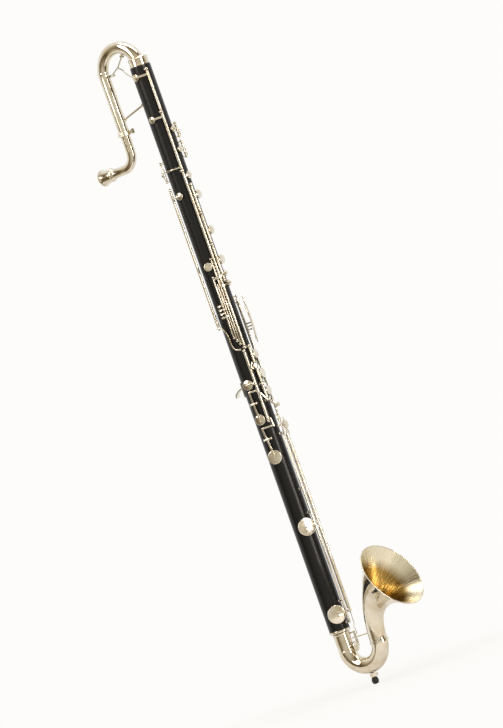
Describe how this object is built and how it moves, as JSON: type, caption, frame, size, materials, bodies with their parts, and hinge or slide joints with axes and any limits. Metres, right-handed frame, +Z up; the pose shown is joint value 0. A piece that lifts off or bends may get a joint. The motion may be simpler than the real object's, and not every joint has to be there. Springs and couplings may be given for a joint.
{
  "type": "contra-alto clarinet",
  "caption": "Straight contra-alto clarinet: black wooden body with plated keywork, a neck crook that doubles back to the player, and an upturned metal bell on a bow.",
  "frame": {"origin": "centre of the floor peg's rubber foot, where it meets the floor", "axes": "+Z up the body axis; the bell faces -Y, the player and the mouthpiece socket are at +Y, +X is the player's left-hand side"},
  "size_m": [0.141, 0.3616, 1.3019],
  "materials": {
    "nickel_plate": "polished nickel plate on nickel silver",
    "grenadilla": "oiled blackwood with a soft sheen",
    "cork": "greased sheet cork",
    "pad_leather": "soft white kid",
    "rubber": "matt black",
    "steel": "blued"
  },
  "bodies": {
    "frame": {"bell": "nickel_plate", "bell_brace": "nickel_plate", "bell_joint_ring": "nickel_plate", "body_tube": "grenadilla", "bottom_ferrule": "nickel_plate", "bow": "nickel_plate", "bow_cork": "cork", "brace_saddle": "steel", "clamp_ring": "nickel_plate", "floor_peg": "steel", "neck_brace": "nickel_plate", "neck_collar": "nickel_plate", "neck_cork": "cork", "neck_crook": "nickel_plate", "peg_socket": "nickel_plate", "peg_tip": "rubber", "thumb_rest": "nickel_plate", "vent_saddle": "nickel_plate"},
    "bow_key": {"bow_key": "nickel_plate", "bow_pad": "pad_leather"},
    "bridge_key": {"bridge_key": "nickel_plate"},
    "clamp_screw": {"clamp_screw": "nickel_plate"},
    "f_key": {"f_key": "nickel_plate", "f_pad": "pad_leather"},
    "f_sharp_lever": {"f_sharp_lever": "nickel_plate", "f_sharp_pad": "pad_leather"},
    "g_sharp_key": {"g_sharp_key": "nickel_plate"},
    "g_sharp_lever": {"g_sharp_lever": "nickel_plate", "g_sharp_pad": "pad_leather"},
    "left_hand_key_1": {"left_hand_key_1": "nickel_plate"},
    "left_hand_key_2": {"left_hand_key_2": "nickel_plate"},
    "left_hand_key_3": {"left_hand_key_3": "nickel_plate"},
    "left_little_key_1": {"left_little_key_1": "nickel_plate"},
    "left_little_key_2": {"left_little_key_2": "nickel_plate"},
    "left_little_key_3": {"left_little_key_3": "nickel_plate"},
    "low_e_flat_key": {"low_e_flat_key": "nickel_plate"},
    "low_e_key": {"low_e_key": "nickel_plate", "low_e_pad": "pad_leather"},
    "low_f_key": {"low_f_key": "nickel_plate", "low_f_pad": "pad_leather"},
    "mouthpipe": {"mouthpipe": "nickel_plate"},
    "neck_vent_key": {"neck_vent_key": "nickel_plate"},
    "peg_screw": {"peg_screw": "nickel_plate"},
    "register_lower_key": {"register_lower_key": "nickel_plate"},
    "register_upper_key": {"register_upper_key": "nickel_plate"},
    "right_hand_key_1": {"right_hand_key_1": "nickel_plate"},
    "right_hand_key_2": {"right_hand_key_2": "nickel_plate"},
    "right_hand_key_3": {"right_hand_key_3": "nickel_plate"},
    "side_key_1": {"side_1_pad": "pad_leather", "side_key_1": "nickel_plate"},
    "side_key_2": {"side_key_2": "nickel_plate"},
    "side_key_3": {"side_key_3": "nickel_plate"},
    "side_key_4": {"side_key_4": "nickel_plate"},
    "throat_a_key": {"throat_a_key": "nickel_plate"},
    "throat_gsharp_key": {"throat_gsharp_key": "nickel_plate"},
    "thumb_key": {"thumb_key": "nickel_plate"}
  },
  "joints": [
    {"name": "register_upper_key_hinge", "type": "hinge", "parent": "frame", "child": "register_upper_key", "pos_m": [-0.01378, 0.01735, 1.1502], "axis": [0, 0, 1], "range_deg": [0, 6.99], "stiffness_Nm_per_rad": 0.03, "springref_deg": -28.65},
    {"name": "register_lower_key_hinge", "type": "hinge", "parent": "frame", "child": "register_lower_key", "pos_m": [-0.01378, 0.01735, 1.0322], "axis": [0, 0, 1], "range_deg": [0, 7.74], "stiffness_Nm_per_rad": 0.03, "springref_deg": -28.65},
    {"name": "thumb_key_hinge", "type": "hinge", "parent": "frame", "child": "thumb_key", "pos_m": [-0.0174, 0.05872, 1.021], "axis": [0, 0, -1], "range_deg": [0, 6], "stiffness_Nm_per_rad": 0.03, "springref_deg": -28.65},
    {"name": "throat_a_key_hinge", "type": "hinge", "parent": "frame", "child": "throat_a_key", "pos_m": [0.01378, 0.01735, 1.096], "axis": [0, 0, 1], "range_deg": [0, 9], "stiffness_Nm_per_rad": 0.03, "springref_deg": -28.65},
    {"name": "throat_gsharp_key_hinge", "type": "hinge", "parent": "frame", "child": "throat_gsharp_key", "pos_m": [0.01378, 0.01735, 1.056], "axis": [0, 0, 1], "range_deg": [0, 9], "stiffness_Nm_per_rad": 0.03, "springref_deg": -28.65},
    {"name": "bridge_key_hinge", "type": "hinge", "parent": "frame", "child": "bridge_key", "pos_m": [-0.01992, 0.05611, 0.73], "axis": [0, 0, -1], "range_deg": [0, 8.45], "stiffness_Nm_per_rad": 0.03, "springref_deg": -28.65},
    {"name": "side_key_1_hinge", "type": "hinge", "parent": "frame", "child": "side_key_1", "pos_m": [-0.0179, 0.02054, 0.688], "axis": [0, 0, -1], "range_deg": [0, 10], "stiffness_Nm_per_rad": 0.03, "springref_deg": -28.65},
    {"name": "side_key_2_hinge", "type": "hinge", "parent": "frame", "child": "side_key_2", "pos_m": [-0.02285, 0.02699, 0.702], "axis": [0, 0, -1], "range_deg": [0, 6.37], "stiffness_Nm_per_rad": 0.03, "springref_deg": -28.65},
    {"name": "side_key_3_hinge", "type": "hinge", "parent": "frame", "child": "side_key_3", "pos_m": [-0.02063, 0.02357, 0.695], "axis": [0, 0, -1], "range_deg": [0, 6.73], "stiffness_Nm_per_rad": 0.03, "springref_deg": -28.65},
    {"name": "side_key_4_hinge", "type": "hinge", "parent": "frame", "child": "side_key_4", "pos_m": [-0.01378, 0.01735, 0.681], "axis": [0, 0, -1], "range_deg": [0, 5.5], "stiffness_Nm_per_rad": 0.03, "springref_deg": -28.65},
    {"name": "left_hand_key_1_hinge", "type": "hinge", "parent": "frame", "child": "left_hand_key_1", "pos_m": [-0.00717, 0.01441, 0.946], "axis": [0, 0, 1], "range_deg": [0, 12.34], "stiffness_Nm_per_rad": 0.03, "springref_deg": -28.65},
    {"name": "left_hand_key_2_hinge", "type": "hinge", "parent": "frame", "child": "left_hand_key_2", "pos_m": [-0.00717, 0.01441, 0.884], "axis": [0, 0, 1], "range_deg": [0, 12.34], "stiffness_Nm_per_rad": 0.03, "springref_deg": -28.65},
    {"name": "left_hand_key_3_hinge", "type": "hinge", "parent": "frame", "child": "left_hand_key_3", "pos_m": [-0.00717, 0.01441, 0.812], "axis": [0, 0, 1], "range_deg": [0, 12.34], "stiffness_Nm_per_rad": 0.03, "springref_deg": -28.65},
    {"name": "left_little_key_1_hinge", "type": "hinge", "parent": "frame", "child": "left_little_key_1", "pos_m": [0.0174, 0.02008, 0.57], "axis": [0, 0, -1], "range_deg": [0, 5], "stiffness_Nm_per_rad": 0.03, "springref_deg": -28.65},
    {"name": "left_little_key_2_hinge", "type": "hinge", "parent": "frame", "child": "left_little_key_2", "pos_m": [0.02049, 0.02339, 0.606], "axis": [0, 0, -1], "range_deg": [0, 4.5], "stiffness_Nm_per_rad": 0.03, "springref_deg": -28.65},
    {"name": "left_little_key_3_hinge", "type": "hinge", "parent": "frame", "child": "left_little_key_3", "pos_m": [0.02296, 0.02719, 0.642], "axis": [0, 0, -1], "range_deg": [0, 5], "stiffness_Nm_per_rad": 0.03, "springref_deg": -28.65},
    {"name": "right_hand_key_1_hinge", "type": "hinge", "parent": "frame", "child": "right_hand_key_1", "pos_m": [-0.00541, 0.01397, 0.645], "axis": [0, 0, 1], "range_deg": [0, 12.34], "stiffness_Nm_per_rad": 0.03, "springref_deg": -28.65},
    {"name": "right_hand_key_2_hinge", "type": "hinge", "parent": "frame", "child": "right_hand_key_2", "pos_m": [-0.00541, 0.01397, 0.606], "axis": [0, 0, 1], "range_deg": [0, 12.34], "stiffness_Nm_per_rad": 0.03, "springref_deg": -28.65},
    {"name": "right_hand_key_3_hinge", "type": "hinge", "parent": "frame", "child": "right_hand_key_3", "pos_m": [-0.00541, 0.01397, 0.574], "axis": [0, 0, 1], "range_deg": [0, 12.34], "stiffness_Nm_per_rad": 0.03, "springref_deg": -28.65},
    {"name": "f_key_hinge", "type": "hinge", "parent": "frame", "child": "f_key", "pos_m": [-0.01706, 0.01978, 0.536], "axis": [0, 0, 1], "range_deg": [0, 7], "stiffness_Nm_per_rad": 0.03, "springref_deg": -28.65},
    {"name": "g_sharp_key_hinge", "type": "hinge", "parent": "frame", "child": "g_sharp_key", "pos_m": [0.01454, 0.01784, 0.54], "axis": [0, 0, -1], "range_deg": [0, 3.2], "stiffness_Nm_per_rad": 0.03, "springref_deg": -28.65},
    {"name": "low_f_key_hinge", "type": "hinge", "parent": "frame", "child": "low_f_key", "pos_m": [0.00841, 0.00801, 0.317], "axis": [0, 0, -1], "range_deg": [0, 6.03], "stiffness_Nm_per_rad": 0.03, "springref_deg": -28.65},
    {"name": "low_e_key_hinge", "type": "hinge", "parent": "frame", "child": "low_e_key", "pos_m": [0.00098, 0.01142, 0.13], "axis": [0, 0, -1], "range_deg": [0, 7.83], "stiffness_Nm_per_rad": 0.03, "springref_deg": -28.65},
    {"name": "low_e_flat_key_hinge", "type": "hinge", "parent": "frame", "child": "low_e_flat_key", "pos_m": [0.00841, 0.00801, 0.151], "axis": [0, 0, 1], "range_deg": [0, 4], "stiffness_Nm_per_rad": 0.03, "springref_deg": -28.65},
    {"name": "g_sharp_lever_hinge", "type": "hinge", "parent": "frame", "child": "g_sharp_lever", "pos_m": [-0.02548, 0.03422, 0.571], "axis": [-0.1994, 0.9799, 0], "range_deg": [0, 5.03], "stiffness_Nm_per_rad": 0.03, "springref_deg": -28.65},
    {"name": "f_sharp_lever_hinge", "type": "hinge", "parent": "frame", "child": "f_sharp_lever", "pos_m": [-0.02458, 0.03094, 0.5], "axis": [-0.3256, 0.9455, 0], "range_deg": [0, 4.47], "stiffness_Nm_per_rad": 0.03, "springref_deg": -28.65},
    {"name": "bow_key_hinge", "type": "hinge", "parent": "frame", "child": "bow_key", "pos_m": [0.01444, 0.02023, 0.082], "axis": [0, 0, -1], "range_deg": [0, 11.12], "stiffness_Nm_per_rad": 0.03, "springref_deg": -28.65},
    {"name": "neck_vent_key_hinge", "type": "hinge", "parent": "frame", "child": "neck_vent_key", "pos_m": [0, 0.1093, 1.244], "axis": [1, 0, 0], "range_deg": [0, 8.01], "stiffness_Nm_per_rad": 0.03, "springref_deg": -28.65},
    {"name": "clamp_screw_turn", "type": "hinge", "parent": "frame", "child": "clamp_screw", "pos_m": [0, 0.1099, 1.133], "axis": [0, 1, 0], "range_deg": [0, 360]},
    {"name": "peg_screw_turn", "type": "hinge", "parent": "frame", "child": "peg_screw", "pos_m": [0.0069, 0, 0.01722], "axis": [1, 0, 0], "range_deg": [0, 360]},
    {"name": "mouthpipe_slide", "type": "slide", "parent": "frame", "child": "mouthpipe", "axis": [0, 0, -1], "range_m": [0, 0.01]}
  ],
  "couplings": [
    {"joint": "register_lower_key_hinge", "follows": "thumb_key_hinge", "ratio": 1.2883},
    {"joint": "bridge_key_hinge", "follows": "right_hand_key_1_hinge", "ratio": 0.684},
    {"joint": "g_sharp_lever_hinge", "follows": "g_sharp_key_hinge", "ratio": 1.5687},
    {"joint": "f_sharp_lever_hinge", "follows": "f_key_hinge", "ratio": 0.6371},
    {"joint": "bow_key_hinge", "follows": "low_e_flat_key_hinge", "ratio": 2.7775},
    {"joint": "neck_vent_key_hinge", "follows": "register_upper_key_hinge", "ratio": 1.1445}
  ]
}
